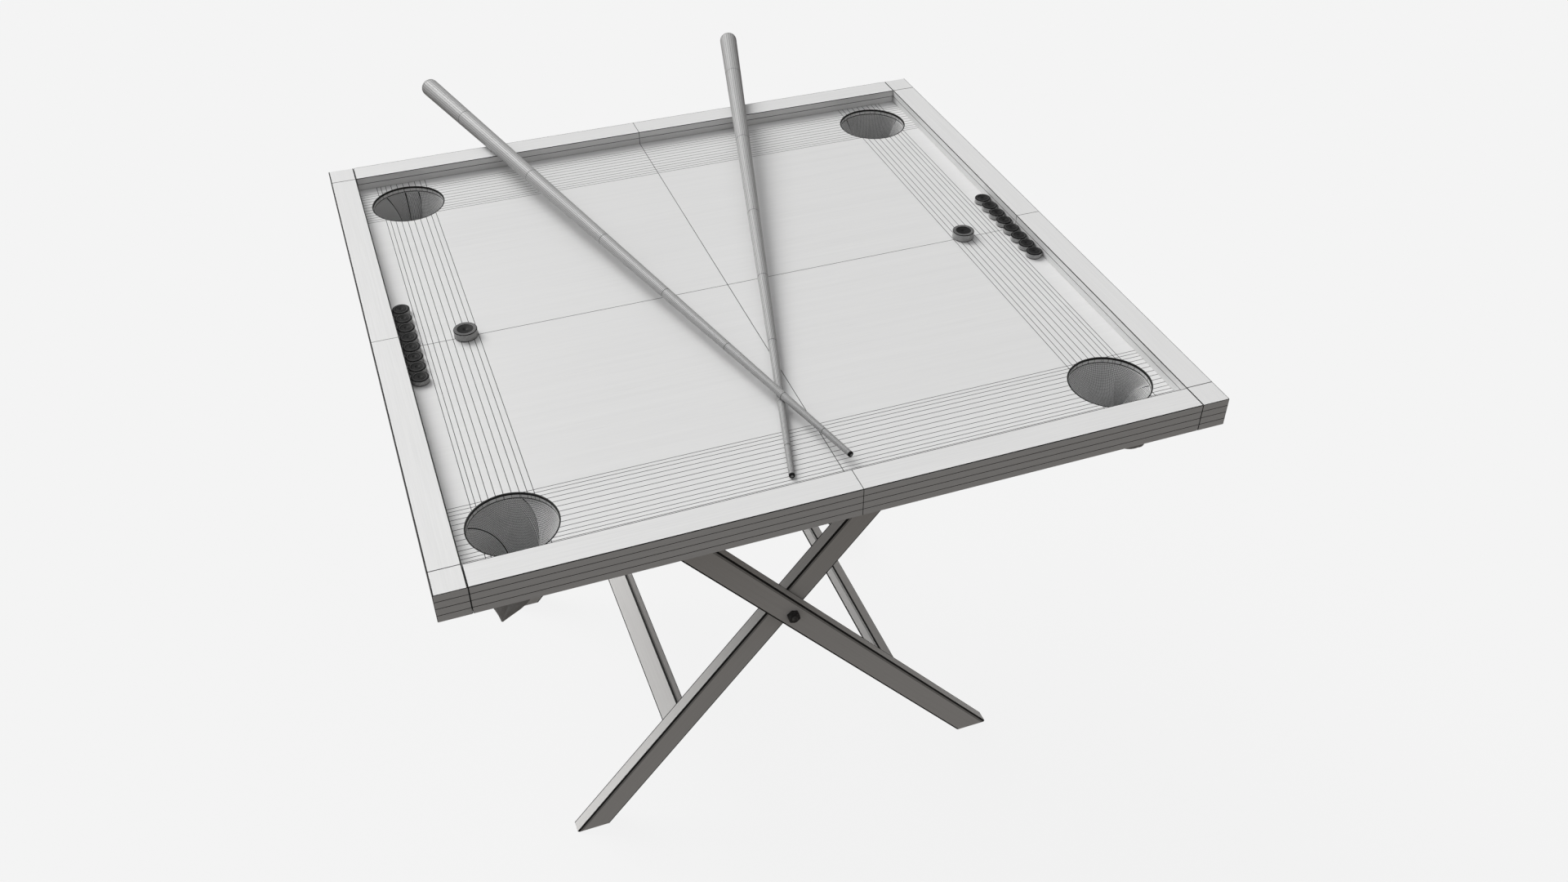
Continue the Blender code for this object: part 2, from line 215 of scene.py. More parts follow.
def lacquer(name, tone, stretch, turn=(0.0, 0.0, 0.0), warm=0.0, contrast=0.05, rough=0.42):
    """Pale lacquer over fine straight grain. stretch is the grain's scale along each axis."""
    n = Nodes(name)
    grain = n.noise(n.place(stretch, turn), 1.0, 4.0, 0.6)
    pores = n.noise(n.place(tuple(3.1 * s for s in stretch), turn), 1.0, 2.0, 0.5)
    cloud = n.noise(n.place((1.0, 1.0, 1.0)), 5.0, 2.0, 0.5)
    streak = n.between(grain, 0.32, 0.68)
    colour = n.mix(streak, grey(tone * (1 - contrast), warm), grey(tone * (1 + contrast * 0.5), warm))
    dark_pores = n.between(pores, 0.66, 0.80, 0.0, 0.30)
    colour = n.mix(dark_pores, colour, grey(tone * 0.72, warm))
    colour = n.mix(n.between(cloud, 0.3, 0.7, 0.0, 0.5), colour, grey(tone * (1 - contrast * 0.5), warm))
    roughness = n.between(cloud, 0.25, 0.75, rough - 0.05, rough + 0.06)
    height = n.maths("SUBTRACT", grain, dark_pores)
    return n.finish(
        colour, roughness, height, 0.00012, 0.35, Coat_Weight=0.03, Coat_Roughness=0.3, IOR=1.40
    )


def ink(name, tone, rough=0.55):
    """Dark lines: glue, paint and edge bands, a little worn."""
    n = Nodes(name)
    wear = n.noise(n.place((1.0, 1.0, 1.0)), 260.0, 3.0, 0.6)
    colour = n.mix(n.between(wear, 0.35, 0.75), grey(tone), grey(tone * 1.8))
    roughness = n.between(wear, 0.3, 0.7, rough - 0.06, rough + 0.1)
    return n.finish(colour, roughness, wear, 0.00003, 0.4, Specular_IOR_Level=0.15)


def plastic(name, tone, rough, turning=0.0):
    """Moulded and turned plastic. turning is the number of fine rings per metre about local Z."""
    n = Nodes(name)
    speck = n.noise(n.place((1.0, 1.0, 1.0)), 900.0, 3.0, 0.6)
    broad = n.noise(n.place((1.0, 1.0, 1.0)), 130.0, 2.0, 0.5)
    colour = n.mix(n.between(speck, 0.3, 0.7), grey(tone * 0.85), grey(tone * 1.15))
    colour = n.mix(n.between(broad, 0.55, 0.8, 0.0, 0.35), colour, grey(tone * 1.5))
    height = speck
    if turning:
        split = n.add("ShaderNodeSeparateXYZ", Vector=n.place((1.0, 1.0, 1.0)))
        flat = n.add("ShaderNodeCombineXYZ", X=split.outputs["X"], Y=split.outputs["Y"])
        radius = n.add("ShaderNodeVectorMath", {"operation": "LENGTH"}, _0=flat.outputs[0]).outputs["Value"]
        height = n.maths("SINE", n.maths("MULTIPLY", radius, turning * 2 * math.pi))
    roughness = n.between(broad, 0.3, 0.7, rough - 0.06, rough + 0.08)
    return n.finish(colour, roughness, height, 0.00002, 0.5, Specular_IOR_Level=0.12)


def cloth(name, tone, warm=0.0, sheen=0.2):
    """Cloth or felted leather: soft fibres with uneven dye."""
    n = Nodes(name)
    fibre = n.noise(n.place((1.0, 1.0, 1.0)), 2600.0, 3.0, 0.7)
    uneven = n.noise(n.place((1.0, 1.0, 1.0)), 60.0, 3.0, 0.5)
    colour = n.mix(n.between(fibre, 0.3, 0.7), grey(tone * 0.75, warm), grey(tone * 1.2, warm))
    colour = n.mix(n.between(uneven, 0.35, 0.7, 0.0, 0.4), colour, grey(tone * 0.8, warm))
    roughness = n.between(fibre, 0.3, 0.7, 0.82, 0.98)
    return n.finish(colour, roughness, fibre, 0.00015, 0.7, Sheen_Weight=sheen, Specular_IOR_Level=0.2)


def steel(name, tone, rough=0.38):
    """Blackened steel with fine machining marks and rubbed spots."""
    n = Nodes(name)
    marks = n.noise(n.place((900.0, 60.0, 900.0)), 1.0, 3.0, 0.6)
    rub = n.noise(n.place((1.0, 1.0, 1.0)), 220.0, 3.0, 0.6)
    colour = n.mix(n.between(rub, 0.45, 0.8), grey(tone), grey(tone * 3.0))
    roughness = n.between(marks, 0.3, 0.7, rough - 0.08, rough + 0.12)
    return n.finish(colour, roughness, marks, 0.00003, 0.4, Metallic=0.5, Specular_IOR_Level=0.3)


CLAY = 0.72
FINE, LONG = 420.0, 7.0
RAIL_X = lacquer("rail_lacquer_x", CLAY, (LONG, FINE, FINE))
RAIL_Y = lacquer("rail_lacquer_y", CLAY, (FINE, LONG, FINE))
SURFACE = lacquer("surface_lacquer", CLAY * 0.985, (LONG * 0.6, 150.0, 300.0), contrast=0.03, rough=0.36)
LEG_FOOT_LEFT = lacquer(
    "leg_lacquer_left", CLAY, (LONG, FINE, FINE), (0.0, LEG_ANGLE, 0.0), 0.01
)
LEG_FOOT_RIGHT = lacquer(
    "leg_lacquer_right", CLAY, (LONG, FINE, FINE), (0.0, -LEG_ANGLE, 0.0), 0.01
)
CROSS = lacquer("cross_lacquer", CLAY, (FINE, LONG, FINE), warm=0.01)
SHADE = lacquer("arris_shade", CLAY * 0.55, (FINE, FINE, LONG), warm=0.01)
CUE_LACQUER = lacquer("cue_lacquer", CLAY * 0.60, (FINE, FINE, LONG), contrast=0.06, rough=0.42)
LINE_INK = ink("guide_line", 0.045)
EDGE_INK = ink("edge_band", 0.016)
GLUE_INK = ink("glue_line", 0.022)
STAVE_INK = ink("stave_line", 0.06)
PUCK_BLACK = plastic("puck_black", 0.004, 0.50, 2200.0)
PUCK_DARK = plastic("puck_dark", 0.012, 0.50, 2200.0)
PUCK_RING = plastic("puck_ring", 0.060, 0.48, 2200.0)
STRIKER_RING = plastic("striker_ring", 0.17, 0.46, 2200.0)
PUCK_SIDE = plastic("puck_side", 0.50, 0.5)
NET_CLOTH = cloth("net_cloth", 0.78)
# The net's dark cords; the same material also paints the shadow in the steep side of deep folds.
NET_CORD_AND_SHADOW = cloth("net_cord", 0.05, sheen=0.0)
STEEL = steel("blackened_steel", 0.045)
STEEL_LIGHT = steel("rubbed_steel", 0.10, 0.36)
TIP = cloth("tip_leather", 0.005, sheen=0.0)
TIP_HEART = cloth("tip_heart", 0.16, sheen=0.0)
FERRULE = lacquer("ferrule", CLAY * 0.36, (FINE, FINE, FINE), contrast=0.06, rough=0.45)
BEARER = lacquer("bearer_stain", 0.26, (FINE, LONG, FINE), warm=0.02)


# ---------------------------------------------------------------- mesh helpers


def piece(name, mesh, materials, body, replaces=(), smooth=False, matrix=None):
    """A new piece of the object, in the row frame."""
    for material in materials[len(mesh.materials) :]:
        mesh.materials.append(material)
    for place, material in enumerate(materials):
        mesh.materials[place] = material
    if smooth:
        mesh.shade_smooth()
    obj = bpy.data.objects.new(name, mesh)
    bpy.context.scene.collection.objects.link(obj)
    if matrix is not None:
        obj.matrix_world = matrix
    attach(obj, body)
    if replaces:
        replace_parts(obj, *replaces)
    return obj


def to_mesh(bm, name):
    bmesh.ops.recalc_face_normals(bm, faces=bm.faces)
    mesh = bpy.data.meshes.new(name)
    bm.to_mesh(mesh)
    bm.free()
    return mesh


def add_box(bm, low, high, index=0):
    """A closed box in bm, with one material."""
    low, high = Vector(low), Vector(high)
    made = bmesh.ops.create_cube(bm, size=1.0)["verts"]
    for vert in made:
        vert.co = Vector((low[i] + (vert.co[i] + 0.5) * (high[i] - low[i]) for i in range(3)))
    for face in {face for vert in made for face in vert.link_faces}:
        face.material_index = index
    return made


def chamfer(bm, edges, width, segments=1):
    bmesh.ops.bevel(
        bm, geom=edges, offset=width, offset_type="OFFSET", segments=segments, affect="EDGES", profile=0.5
    )


def slice_through(bm, place, normal):
    """Cuts every face along a plane."""
    everything = bm.verts[:] + bm.edges[:] + bm.faces[:]
    bmesh.ops.bisect_plane(bm, geom=everything, dist=1e-7, plane_co=place, plane_no=normal)


def near_end(edge, low, high, axis):
    """True for an edge that lies in one of the two end faces across axis."""
    places = [vert.co[axis] for vert in edge.verts]
    return any(all(abs(place - end) < 1e-6 for place in places) for end in (low[axis], high[axis]))


def cut(obj, cutter):
    """Subtracts cutter from obj, and removes the cutter."""
    step = obj.modifiers.new("cut", "BOOLEAN")
    step.object = cutter
    step.operation = "DIFFERENCE"
    step.solver = "EXACT"
    bpy.context.view_layer.update()
    mesh = bpy.data.meshes.new_from_object(obj.evaluated_get(bpy.context.evaluated_depsgraph_get()))
    obj.modifiers.clear()
    obj.data = mesh
    bpy.data.objects.remove(cutter)


def helper(mesh, matrix=None):
    obj = bpy.data.objects.new("helper", mesh)
    bpy.context.scene.collection.objects.link(obj)
    if matrix is not None:
        obj.matrix_world = matrix
    return obj


def lathe(profile, angles, material_at):
    """A bmesh turned about Z. profile is (radius, z) from the top's middle to the bottom's middle, and its
    ends have radius 0. angles is a list, or gives one from the radius. material_at gives a face's material
    from its profile step and its angle step."""
    bm = bmesh.new()
    rings = []
    for radius, z in profile:
        if radius == 0.0:
            rings.append([bm.verts.new((0.0, 0.0, z))])
            continue
        ring = angles(radius) if callable(angles) else angles
        rings.append([bm.verts.new((radius * math.cos(a), radius * math.sin(a), z)) for a in ring])
    count = max(len(ring) for ring in rings)
    for step, (upper, lower) in enumerate(zip(rings, rings[1:])):
        for i in range(count):
            j = (i + 1) % count
            left = (upper[i % len(upper)], lower[i % len(lower)])
            right = (lower[j % len(lower)], upper[j % len(upper)])
            face = bm.faces.new(list(dict.fromkeys(left + right)))
            face.material_index = material_at(step, i)
            face.smooth = True
    return bm


def cylinder(bm, radius, depth, segments=ROUND_STEPS):
    bmesh.ops.create_cone(
        bm, cap_ends=True, segments=segments, radius1=radius, radius2=radius, depth=depth
    )


def mark_sharp(mesh, degrees=35.0):
    """Smooth shading that stops at sharp edges."""
    mesh.shade_smooth()
    bm = bmesh.new()
    bm.from_mesh(mesh)
    limit = math.radians(degrees)
    for edge in bm.edges:
        edge.smooth = len(edge.link_faces) == 2 and edge.calc_face_angle(0.0) < limit
    bm.to_mesh(mesh)
    bm.free()


# ---------------------------------------------------------------- rails


def rail(name, low, high, wood, marks, lines):
    """A rail of glued strips, with dark glue lines and edge bands, and the groove that holds the board."""
    bm = bmesh.new()
    add_box(bm, low, high)
    along = 0 if high.x - low.x > high.y - low.y else 1
    long_edges = [e for e in bm.edges if abs((e.verts[0].co - e.verts[1].co)[along]) > 0.1]
    chamfer(bm, long_edges, ARRIS)
    chamfer(bm, [e for e in bm.edges if e.is_manifold and near_end(e, low, high, along)], END_ARRIS)
    layer = (high.z - low.z) / STRIPS
    heights = [low.z + layer * k for k in range(1, STRIPS)]
    for z in heights:
        for side in (-1, 1):
            slice_through(bm, (0.0, 0.0, z + side * GLUE / 2), (0.0, 0.0, 1.0))
    bm.normal_update()
    for face in bm.faces:
        middle = face.calc_center_median()
        leans = sorted(abs(c) for c in face.normal)[1] > 0.3
        in_glue = any(abs(middle.z - z) < GLUE / 2 for z in heights)
        face.material_index = 1 if leans else 2 if in_glue else 0
    glue = [face for face in bm.faces if face.material_index == 2]
    bmesh.ops.inset_region(bm, faces=glue, thickness=GLUE_DEEP / 2, depth=-GLUE_DEEP, use_even_offset=True)
    for face in bm.faces:
        middle = face.calc_center_median()
        if any(abs(middle.z - z) < GLUE / 2 for z in heights):
            face.material_index = 2 if face.material_index != 1 else 1
    materials = [wood, EDGE_INK, GLUE_INK, LINE_INK]
    obj = piece(name, to_mesh(bm, name), materials, "board")
    reach = INNER + GROOVE
    bm = bmesh.new()
    add_box(
        bm,
        (-reach, TABLE_Y - reach, UNDER_Z - ROOM),
        (reach, TABLE_Y + reach, SURFACE_Z + ROOM),
    )
    cut(obj, helper(to_mesh(bm, "groove")))
    bm = bmesh.new()
    bm.from_mesh(obj.data)
    for mark_low, mark_high in marks:
        add_box(bm, mark_low, mark_high, 3)
    for line_low, line_high in lines:
        add_box(bm, line_low, line_high, 1)
    bm.to_mesh(obj.data)
    bm.free()
    return obj


def marks_round(axis, at, low, high, width=MARK, full=True):
    """Thin inlaid marks across a rail: over its top and, if full, down its two long sides as well."""
    other = 1 - axis
    near, far = [0.0] * 3, [0.0] * 3
    near[axis], far[axis] = at - width / 2, at + width / 2
    made = []

    def strip(low_other, high_other, low_z, high_z):
        a, b = list(near), list(far)
        a[other], b[other] = low_other, high_other
        a[2], b[2] = low_z, high_z
        made.append((a, b))

    strip(low[other] + ARRIS, high[other] - ARRIS, high.z - MARK_DEEP, high.z + PROUD)
    if full:
        strip(low[other] - PROUD, low[other] + MARK_DEEP, low.z + ARRIS, high.z - ARRIS)
        strip(high[other] - MARK_DEEP, high[other] + PROUD, low.z + ARRIS, high.z - ARRIS)
    return made


def top_line(low, high, across, side, width):
    """A dark line let into a rail's top along a long edge. side is -1 for the low edge across the rail."""
    a, b = list(low), list(high)
    if side < 0:
        a[across] = low[across] + ARRIS - 0.0002
        b[across] = a[across] + width
    else:
        b[across] = high[across] - ARRIS + 0.0002
        a[across] = b[across] - width
    along = 1 - across
    a[along], b[along] = a[along] + END_ARRIS, b[along] - END_ARRIS
    a[2], b[2] = high.z - MARK_DEEP, high.z + PROUD
    return (a, b)


def rails():
    for side, sign, outer, inner in (("left", -1, 0.0011, 0.0009), ("right", 1, 0.0006, 0.0004)):
        low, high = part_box(f"rail_{side}")
        marks = marks_round(1, TABLE_Y, low, high)
        for end in (-1, 1):
            marks += marks_round(1, TABLE_Y + end * INNER, low, high, END_MARK, False)
        lines = [top_line(low, high, 0, sign, outer), top_line(low, high, 0, -sign, inner)]
        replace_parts(rail(f"rail_{side}_strips", low, high, RAIL_Y, marks, lines), f"rail_{side}")
    for end, sign, outer, inner in (("front", -1, 0.0004, 0.0008), ("back", 1, 0.0006, 0.0004)):
        low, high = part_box(f"rail_{end}")
        low.x, high.x = -INNER + ROOM, INNER - ROOM
        marks = marks_round(0, 0.0, low, high)
        lines = [top_line(low, high, 1, sign, outer), top_line(low, high, 1, -sign, inner)]
        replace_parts(rail(f"rail_{end}_strips", low, high, RAIL_X, marks, lines), f"rail_{end}")


# ---------------------------------------------------------------- playing surface


def band(kind):
    middle, reach, first, step, count = BANDS[kind]
    return [middle + reach * math.sin(math.radians(first - step * k)) for k in range(count)]


def chords(at, axis):
    """The stretches of a line at a given place that lie between the rails and outside the pockets."""
    cuts = []
    for x, y in CORNERS.values():
        across, along = (x, y) if axis == 1 else (y, x)
        off = at - across * POCKET_AT
        if abs(off) < POCKET_R:
            half = math.sqrt(POCKET_R**2 - off**2)
            cuts.append((along * POCKET_AT - half, along * POCKET_AT + half))
    cuts.sort()
    start, spans = -INNER, []
    for low, high in cuts:
        spans.append((start, low))
        start = high
    spans.append((start, INNER))
    return spans


def surface_lines():
    """Painted guide lines and the centre cross. They run down the pocket holes' walls too."""
    bm = bmesh.new()
    lines = [(sign * at, 1, LINE) for at in band("side") for sign in (-1, 1)]
    lines += [(-at, 0, LINE) for at in band("front")]
    lines += [(at, 0, LINE) for at in band("back")]
    lines += [(0.0, 0, MARK), (0.0, 1, MARK)]
    for at, axis, width in lines:
        for low, high in chords(at, axis):
            a, b = [0.0] * 3, [0.0] * 3
            a[1 - axis], b[1 - axis] = at - width / 2, at + width / 2
            a[axis], b[axis] = low, high
            a[1], b[1] = a[1] + TABLE_Y, b[1] + TABLE_Y
            a[2], b[2] = SURFACE_Z - 0.0001, SURFACE_Z + PROUD
            add_box(bm, a, b)
            for end, into in ((low, -1), (high, 1)):
                if abs(end) > INNER - 1e-6:
                    continue
                a[axis], b[axis] = sorted((end + into * 0.0001, end - into * 0.0002))
                if axis == 1:
                    a[1], b[1] = a[1] + TABLE_Y, b[1] + TABLE_Y
                a[2], b[2] = UNDER_Z + 0.0002, SURFACE_Z
                add_box(bm, a, b)
    piece("surface_lines", to_mesh(bm, "surface_lines"), [LINE_INK], "board")


def pocket_rims():
    """A dark band let into the hole's upper edge, and a thin one at its lower edge."""
    angles = [2 * math.pi * k / RIM_STEPS for k in range(RIM_STEPS)]
    for corner, (x, y) in CORNERS.items():
        bm = bmesh.new()
        for inner, outer, low, high in (
            (POCKET_R - 0.0003, POCKET_R + 0.0014, SURFACE_Z - 0.0026, SURFACE_Z + 0.00012),
            (POCKET_R - 0.0004, POCKET_R + 0.0003, UNDER_Z + 0.0001, UNDER_Z + 0.0008),
        ):
            rings = []
            for r, z in ((inner, high), (outer, high), (outer, low), (inner, low)):
                rings.append([bm.verts.new((r * math.cos(a), r * math.sin(a), z)) for a in angles])
            for upper, lower in zip(rings, rings[1:] + rings[:1]):
                for i in range(RIM_STEPS):
                    j = (i + 1) % RIM_STEPS
                    bm.faces.new((upper[i], upper[j], lower[j], lower[i]))
        mesh = to_mesh(bm, f"pocket_rim_{corner}")
        mesh.transform(Matrix.Translation((x * POCKET_AT, y * POCKET_AT + TABLE_Y, 0.0)))
        piece(f"pocket_rim_{corner}", mesh, [EDGE_INK], "board")


# ---------------------------------------------------------------- pocket nets

# Folds of each bag: angle at the hem, how far the fold turns towards the tip, depth of the fold, and its
# widths on the side of smaller and of larger angles
FOLDS = {
    "front_left": (
        (64, -185, 0.016, 0.60, 0.045),
        (84, -140, 0.004, 0.15, 0.15),
        (158, -165, 0.015, 0.045, 0.60),
        (300, -110, 0.006, 0.3, 0.3),
    ),
    "front_right": (
        (128, 24, 0.0074, 0.22, 0.35),
        (48, 30, 0.0070, 0.20, 0.20),
        (240, 60, 0.006, 0.3, 0.3),
        (342, 150, 0.020, 0.60, 0.045),
    ),
    "back_left": (
        (64, -55, 0.015, 0.55, 0.045),
        (86, -20, 0.009, 0.05, 0.05),
        (122, -55, 0.014, 0.045, 0.50),
        (260, -30, 0.006, 0.3, 0.3),
    ),
    "back_right": (
        (15, 0, 0.014, 0.50, 0.045),
        (72, 8, 0.004, 0.30, 0.30),
        (122, 32, 0.013, 0.045, 0.50),
        (270, 10, 0.006, 0.3, 0.3),
    ),
}
# Each bag's lean towards its corner, how much its cone narrows, how far its tip hangs outwards across and
# along the table and upwards, and how blunt the tip is
BAGS = {
    "front_left": (0.010, 0.46, 0.023, 0.013, -0.009, 1.15),
    "front_right": (0.020, 0.64, 0.035, 0.000, 0.018, 1.45),
    "back_left": (0.010, 0.46, 0.014, 0.012, 0.000, 1.10),
    "back_right": (0.010, 0.46, 0.018, 0.014, 0.004, 1.20),
}


def bag_radius(corner, depth):
    """The bag is a cone that closes in a point of its own slope."""
    _, taper, _, _, _, blunt = BAGS[corner]
    cone = (POCKET_R - 0.0006) * (1 - taper * depth)
    point = blunt * NET_DEPTH * (1 - depth) + 0.0008
    return (cone**-6 + point**-6) ** (-1 / 6)


def bag(corner, x, y, hem_angle, depth):
    """Points of the bag at the given depths on the threads from hem_angle. Folds turn with the threads."""
    lean, _, out_x, out_y, up, _ = BAGS[corner]
    radius = bag_radius(corner, depth)
    swell = np.sin(np.pi * np.clip(depth, 0, 1) ** 0.9)
    folds = sorted(FOLDS[corner])
    starts = np.radians([fold[0] for fold in folds])
    turns = np.radians([fold[1] for fold in folds])
    angle = hem_angle + np.interp(hem_angle, starts, turns, period=2 * math.pi) * depth * (1 - 0.45 * depth)
    for start, _, deep, narrow, wide in folds:
        away = (hem_angle - math.radians(start) + math.pi) % (2 * math.pi) - math.pi
        width = np.where(away < 0, narrow, wide)
        radius = radius - deep * swell * np.exp(-np.abs(away) / width)
    radius = radius + 0.0005 * np.sin(angle * 7 + depth * 5) * swell
    settle = depth**4
    return np.stack(
        [
            x * POCKET_AT + radius * np.cos(angle) + x * (lean * depth + out_x * settle),
            y * POCKET_AT + TABLE_Y + radius * np.sin(angle) + y * (lean * depth + out_y * settle),
            NET_Z - NET_DEPTH * NET_HANG * depth + up * settle + 0.0005 * np.sin(angle * 3 + 1.0) * swell,
        ],
        -1,
    )


def fold_shadow(corner, hem_angle, depth, hem_rows):
    """The cells that lie in the steep side of a deep fold. They get the cords' dark colour as painted
    shadow.
    """
    pitch = 2 * math.pi / NET_COLUMNS
    dark = np.zeros((depth.shape[0] + hem_rows - 1, depth.shape[1]), bool)
    for start, _, deep, narrow, wide in FOLDS[corner]:
        if deep < DEEP_FOLD:
            continue
        away = (hem_angle - math.radians(start) + math.pi) % (2 * math.pi) - math.pi
        steep = -1 if narrow < wide else 1
        inside = (away * steep > -0.1 * pitch) & (away * steep < 1.0 * pitch) & (depth < 0.8)
        dark[hem_rows:] |= inside[:-1]
    return dark


def net_rows(corner):
    """Depths of the net's rows, so that its cells stay square as the bag narrows."""
    rows = [0.0]
    while rows[-1] < NET_END:
        radius = float(bag_radius(corner, np.array(rows[-1])))
        cell = 2 * math.pi * max(radius, NET_CELL_R) / NET_COLUMNS
        rows.append(rows[-1] + 0.8 * cell / NET_DEPTH)
    rows[-1] = NET_END
    return np.array(rows)


def pocket_net(corner, x, y):
    """A bag of square net cloth with a flat hem. Each cell is a patch of cloth between dark cords. The cells
    in the steep side of a deep fold take the cords' dark colour as painted shadow.
    """
    rows = net_rows(corner)
    count = NET_COLUMNS
    step = 2 * math.pi / count
    row_lines = np.sort(np.concatenate([rows[:-1], rows[:-1] + np.diff(rows) * (1 - CORD)]))
    row_lines = np.append(row_lines, rows[-1])
    column_lines = np.sort(np.concatenate([np.arange(count) * step, (np.arange(count) + 1 - CORD) * step]))
    angle, depth = np.meshgrid(column_lines, row_lines)
    points = bag(corner, x, y, angle, depth)
    hem = []
    for radius in NET_HEM_RINGS:
        ring = np.stack(
            [
                x * POCKET_AT + radius * np.cos(column_lines),
                y * POCKET_AT + TABLE_Y + radius * np.sin(column_lines),
                np.full(len(column_lines), NET_Z),
            ],
            -1,
        )
        hem.append(ring)
    points = np.concatenate([np.array(hem), points])
    tall, wide = points.shape[:2]
    index = np.arange(tall * wide).reshape(tall, wide)
    right = np.roll(index, -1, axis=1)
    quads = np.stack([index[:-1], index[1:], right[1:], right[:-1]], -1).reshape(-1, 4)
    cord_row = np.zeros(tall - 1, bool)
    cord_row[len(hem) :] = np.arange(tall - 1 - len(hem)) % 2 == 1
    cord_column = np.arange(wide) % 2 == 1
    # Dark cells: the cords, and a painted shadow in the steep side of each deep fold.
    cord_or_fold_shadow = cord_row[:, None] | cord_column[None, :] | fold_shadow(corner, angle, depth, len(hem))
    tip = points[-1].mean(0) + np.array([0.0, 0.0, -0.0006])
    flat = np.concatenate([points.reshape(-1, 3), tip[None]])
    faces = [tuple(q) for q in quads.tolist()]
    last = index[-1]
    faces += [(int(last[i]), tall * wide, int(last[(i + 1) % wide])) for i in range(wide)]
    mesh = bpy.data.meshes.new(f"net_{corner}")
    mesh.from_pydata(flat.tolist(), [], faces)
    indices = np.concatenate([cord_or_fold_shadow.reshape(-1).astype(np.int32), np.ones(wide, np.int32)])
    mesh.polygons.foreach_set("material_index", indices)
    mesh.update()
    node = f"pocket_net_{corner}"
    return piece(f"net_bag_{corner}", mesh, [NET_CLOTH, NET_CORD_AND_SHADOW], "board", (node,), True)


def nets():
    for corner, (x, y) in CORNERS.items():
        obj = pocket_net(corner, x, y)


# ---------------------------------------------------------------- stand


def bar(bm, front, upper):
    """Planes a bar's edges. The arris between the front and the upper face gets a dark band and a shaded one
    below it. front and upper are those faces' normals."""
    bm.normal_update()
    straight = [face.normal.copy() for face in bm.faces]

    def sides(edge):
        return sum(any(face.normal.dot(n) > 0.999 for face in edge.link_faces) for n in (front, upper))

    reach = {}
    for key, direction in (("upper", upper), ("front", front)):
        places = [vert.co.dot(direction) for vert in bm.verts]
        reach[key] = (min(places), max(places))
    chamfer(bm, [edge for edge in bm.edges if sides(edge) == 2], LEG_ARRIS)
    chamfer(bm, [edge for edge in bm.edges if edge.calc_face_angle(0.0) > STEEP], LEG_FINE)
    rim = LEG_FINE + LEG_RIM
    cuts = (
        (upper, reach["upper"][1] - LEG_BAND),
        (upper, reach["upper"][0] + rim),
        (upper, reach["upper"][1] - rim),
        (front, reach["front"][0] + rim),
        (front, reach["front"][1] - rim),
    )
    for direction, place in cuts:
        slice_through(bm, direction * place, direction)
    bm.normal_update()
    for face in bm.faces:
        middle = face.calc_center_median()
        flat = max(face.normal.dot(normal) for normal in straight) > 0.999
        on_front, on_upper = abs(face.normal.dot(front)) > 0.999, abs(face.normal.dot(upper)) > 0.999
        across = upper if on_front else front
        low, high = reach["upper" if on_front else "front"]
        place = middle.dot(across)
        in_rim = (on_front or on_upper) and (place < low + rim or place > high - rim)
        in_band = face.normal.dot(front) > 0.999 and middle.dot(upper) > reach["upper"][1] - LEG_BAND
        face.material_index = 2 if in_band else 1 if in_rim or not flat else 0


def slanted(low, high, lean):
    """A bar between two levels whose ends are cut level. lean is +1 for a foot on the left."""
    half = LEG_WIDTH / 2 / math.sin(LEG_ANGLE)
    shift = (high.z - low.z) / 2 / math.tan(LEG_ANGLE)
    middle = (low.x + high.x) / 2
    bm = bmesh.new()
    add_box(bm, (middle - half, low.y, low.z), (middle + half, high.y, high.z))
    for vert in bm.verts:
        vert.co.x += lean * (shift if vert.co.z > (low.z + high.z) / 2 else -shift)
    return bm


def legs():
    front = Vector((0.0, -1.0, 0.0))
    for letter, lean, wood in (("a", 1, LEG_FOOT_LEFT), ("b", -1, LEG_FOOT_RIGHT)):
        upper = Vector((-lean * math.sin(LEG_ANGLE), 0.0, math.cos(LEG_ANGLE)))
        for place in ("front", "rear"):
            node = f"leg_{letter}_{place}"
            low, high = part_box(node)
            bm = slanted(low, high, lean)
            bar(bm, front, upper)
            materials = [wood, EDGE_INK, SHADE]
            leg = piece(f"{node}_bar", to_mesh(bm, node), materials, f"stand_{letter}", (node,))
            bolt_low, bolt_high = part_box(f"pivot_bolt_{place}")
            centre = (bolt_low + bolt_high) / 2
            bm = bmesh.new()
            cylinder(bm, PIVOT_BORE, 0.2)
            cut(leg, helper(to_mesh(bm, "bore"), along_y(centre, -1)))


def stretchers():
    for letter, lean in (("a", 1), ("b", -1)):
        node = f"stretcher_{letter}"
        turn = Matrix.Rotation(lean * (math.pi / 2 - LEG_ANGLE), 4, "Y")
        local = np.array([(turn.inverted() @ v.co)[:] for v in frame["nodes"][node].data.vertices])
        bm = bmesh.new()
        add_box(bm, local.min(0).tolist(), local.max(0).tolist())
        bar(bm, Vector((0.0, 0.0, 1.0)), Vector((-float(lean), 0.0, 0.0)))
        bm.transform(turn)
        materials = [CROSS, EDGE_INK, SHADE]
        piece(f"{node}_bar", to_mesh(bm, node), materials, f"stand_{letter}", (node,))


# ---------------------------------------------------------------- pivot hardware


def hexagon(radius, thick):
    """A hexagonal prism about Z with chamfered corners on its upper face."""
    bm = bmesh.new()
    cylinder(bm, radius, thick, 6)
    nut = helper(to_mesh(bm, "hexagon"))
    bm = bmesh.new()
    bmesh.ops.create_cone(
        bm,
        cap_ends=True,
        segments=ROUND_STEPS,
        radius1=radius * 0.90 + thick * 2 * NUT_CHAMFER,
        radius2=radius * 0.90,
        depth=thick * 2,
        matrix=Matrix.Translation((0.0, 0.0, -thick / 2)),
    )
    cone = helper(to_mesh(bm, "cone"))
    step = nut.modifiers.new("chamfer", "BOOLEAN")
    step.object = cone
    step.operation = "INTERSECT"
    step.solver = "EXACT"
    bpy.context.view_layer.update()
    mesh = bpy.data.meshes.new_from_object(nut.evaluated_get(bpy.context.evaluated_depsgraph_get()))
    bpy.data.objects.remove(nut)
    bpy.data.objects.remove(cone)
    return mesh


